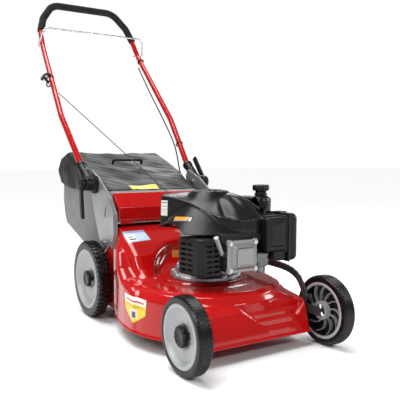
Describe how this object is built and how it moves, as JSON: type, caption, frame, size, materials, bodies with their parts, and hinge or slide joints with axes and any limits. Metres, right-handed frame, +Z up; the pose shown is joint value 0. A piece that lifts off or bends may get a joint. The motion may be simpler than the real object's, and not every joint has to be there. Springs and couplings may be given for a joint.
{
  "type": "push lawn mower",
  "caption": "Petrol push lawn mower with pressed-steel deck, vertical-shaft engine, rear grass bag and folding tubular handle with brake bail.",
  "frame": {"origin": "on the floor, at the centre of the mower's length and width", "axes": "+Z up, -Y towards the nose, +Y towards the handle, +X towards the operator's left"},
  "size_m": [0.515, 1.435, 1.222],
  "materials": {
    "red_paint": "gloss powder coat",
    "black_paint": "satin heat-proof paint",
    "grey_steel": "satin grey paint",
    "black_plastic": "fine-grained moulding",
    "black_gloss": "satin-gloss moulding",
    "silver_plastic": "silver-painted moulding",
    "orange_plastic": "moulding",
    "zinc_steel": "zinc plated",
    "bright_steel": "ground",
    "dark_steel": "blackened",
    "chrome_wire": "bright plated",
    "cast_alloy": "die cast",
    "cast_iron": "as cast",
    "tyre": "moulded tread",
    "black_rubber": "smooth",
    "foam": "closed-cell foam",
    "rope": "braided",
    "bag_cloth": "coated woven cloth",
    "filter_paper": "pleated"
  },
  "bodies": {
    "chassis": {"deck": "red_paint", "axle_bushes": "black_plastic", "handle_bracket_right": "grey_steel", "handle_bracket_left": "grey_steel", "flap_rod": "zinc_steel", "bolts": "zinc_steel", "crankcase": "cast_alloy", "cylinder_block": "cast_alloy", "valve_cover": "cast_alloy", "muffler": "dark_steel", "muffler_guard": "black_paint", "blower_housing": "black_gloss", "fuel_tank": "black_plastic", "carburettor": "cast_alloy", "air_filter_base": "black_plastic", "air_filter_element": "filter_paper", "spark_plug_boot": "bright_steel", "wire_connector": "orange_plastic", "starter_rope": "rope", "control_cable": "black_rubber"},
    "rotor": {"crankshaft": "bright_steel", "flywheel": "cast_alloy", "blade_hub": "cast_iron", "blade": "dark_steel", "blade_bolt": "zinc_steel"},
    "pulley": {"starter_pulley": "black_plastic"},
    "fuel_cap": {"fuel_cap": "black_plastic"},
    "oil_cap": {"oil_cap": "black_plastic"},
    "filter_cover": {"air_filter_cover": "black_plastic"},
    "brake_arm": {"brake_arm": "zinc_steel"},
    "flap": {"flap": "red_paint"},
    "bag": {"grass_bag": "bag_cloth", "bag_frame": "dark_steel", "bag_handle": "black_plastic"},
    "handle": {"handle_tube": "red_paint", "foam_grip": "foam", "knuckle_right": "black_plastic", "knuckle_left": "black_plastic", "cable_clips": "black_plastic", "rope_guide": "black_plastic"},
    "starter_grip": {"starter_grip": "black_plastic"},
    "cam_lever_right": {"cam_lever_right": "black_plastic"},
    "cam_lever_left": {"cam_lever_left": "black_plastic"},
    "bail": {"bail": "chrome_wire"},
    "front_axle": {"front_axle": "zinc_steel"},
    "rear_axle": {"rear_axle": "zinc_steel", "height_lever": "dark_steel"},
    "height_link": {"height_link": "dark_steel"},
    "wheel_front_right": {"wheel_front_right": "silver_plastic", "tyre_front_right": "tyre", "hub_cap_front_right": "black_plastic"},
    "wheel_front_left": {"wheel_front_left": "silver_plastic", "tyre_front_left": "tyre", "hub_cap_front_left": "black_plastic"},
    "wheel_rear_right": {"wheel_rear_right": "silver_plastic", "tyre_rear_right": "tyre", "hub_cap_rear_right": "black_plastic"},
    "wheel_rear_left": {"wheel_rear_left": "silver_plastic", "tyre_rear_left": "tyre", "hub_cap_rear_left": "black_plastic"}
  },
  "joints": [
    {"name": "crank_turn", "type": "hinge", "parent": "chassis", "child": "rotor", "pos_m": [0, -0.3384, 0.2], "axis": [0, 0, 1], "continuous": true},
    {"name": "pulley_turn", "type": "hinge", "parent": "chassis", "child": "pulley", "pos_m": [0, -0.3384, 0.384], "axis": [0, 0, 1], "range_deg": [0, 764]},
    {"name": "fuel_cap_turn", "type": "hinge", "parent": "chassis", "child": "fuel_cap", "pos_m": [0.158, -0.4084, 0.44], "axis": [0, 0, 1], "range_deg": [0, 180]},
    {"name": "oil_cap_turn", "type": "hinge", "parent": "chassis", "child": "oil_cap", "pos_m": [0.096, -0.2724, 0.24], "axis": [0, 0, 1], "range_deg": [0, 180]},
    {"name": "filter_cover_open", "type": "hinge", "parent": "chassis", "child": "filter_cover", "pos_m": [0.146, -0.5004, 0.238], "axis": [0, 1, 0], "range_deg": [0, 60]},
    {"name": "brake_arm_turn", "type": "hinge", "parent": "chassis", "child": "brake_arm", "pos_m": [-0.03, -0.2464, 0.302], "axis": [0, 0, 1], "range_deg": [-27, 0]},
    {"name": "flap_lift", "type": "hinge", "parent": "chassis", "child": "flap", "pos_m": [0, -0.0954, 0.324], "axis": [1, 0, 0], "range_deg": [0, 45], "stiffness_Nm_per_rad": 0.6, "springref_deg": -57.3},
    {"name": "bag_pull", "type": "slide", "parent": "chassis", "child": "bag", "axis": [0, 1, 0], "range_m": [0, 0.3]},
    {"name": "handle_fold", "type": "hinge", "parent": "chassis", "child": "handle", "pos_m": [0, 0.0646, 0.447], "axis": [1, 0, 0], "range_deg": [0, 125], "deforming": ["starter_rope", "control_cable"]},
    {"name": "starter_pull", "type": "slide", "parent": "handle", "child": "starter_grip", "axis": [-0.12, 0.3999, 0.9087], "range_m": [0, 0.6], "stiffness_N_per_m": 20, "springref_m": -0.2},
    {"name": "cam_right_open", "type": "hinge", "parent": "handle", "child": "cam_lever_right", "pos_m": [0, 0.0646, 0.447], "axis": [1, 0, 0], "range_deg": [0, 140]},
    {"name": "cam_left_open", "type": "hinge", "parent": "handle", "child": "cam_lever_left", "pos_m": [0, 0.0646, 0.447], "axis": [1, 0, 0], "range_deg": [-140, 0]},
    {"name": "bail_squeeze", "type": "hinge", "parent": "handle", "child": "bail", "pos_m": [0, 0.5866, 1.001], "axis": [1, 0, 0], "range_deg": [-44, 0], "stiffness_Nm_per_rad": 0.8, "springref_deg": 34.38},
    {"name": "front_height", "type": "hinge", "parent": "chassis", "child": "front_axle", "pos_m": [0, -0.5634, 0.1], "axis": [1, 0, 0], "range_deg": [-25, 25]},
    {"name": "rear_height", "type": "hinge", "parent": "chassis", "child": "rear_axle", "pos_m": [0, 0.0766, 0.128], "axis": [1, 0, 0], "range_deg": [-25, 25]},
    {"name": "link_swing", "type": "hinge", "parent": "front_axle", "child": "height_link", "pos_m": [0.205, -0.5634, 0.13], "axis": [1, 0, 0], "range_deg": [-25, 25]},
    {"name": "roll_front_right", "type": "hinge", "parent": "front_axle", "child": "wheel_front_right", "pos_m": [-0.232, -0.6184, 0.1], "axis": [1, 0, 0], "continuous": true},
    {"name": "roll_front_left", "type": "hinge", "parent": "front_axle", "child": "wheel_front_left", "pos_m": [0.232, -0.6184, 0.1], "axis": [1, 0, 0], "continuous": true},
    {"name": "roll_rear_right", "type": "hinge", "parent": "rear_axle", "child": "wheel_rear_right", "pos_m": [-0.232, 0.0216, 0.128], "axis": [1, 0, 0], "continuous": true},
    {"name": "roll_rear_left", "type": "hinge", "parent": "rear_axle", "child": "wheel_rear_left", "pos_m": [0.232, 0.0216, 0.128], "axis": [1, 0, 0], "continuous": true}
  ],
  "couplings": [
    {"joint": "pulley_turn", "follows": "starter_pull", "rad_per_m": 22.222},
    {"joint": "brake_arm_turn", "follows": "bail_squeeze", "ratio": 0.6},
    {"joint": "front_height", "follows": "rear_height", "ratio": 1},
    {"joint": "link_swing", "follows": "rear_height", "ratio": -1}
  ]
}
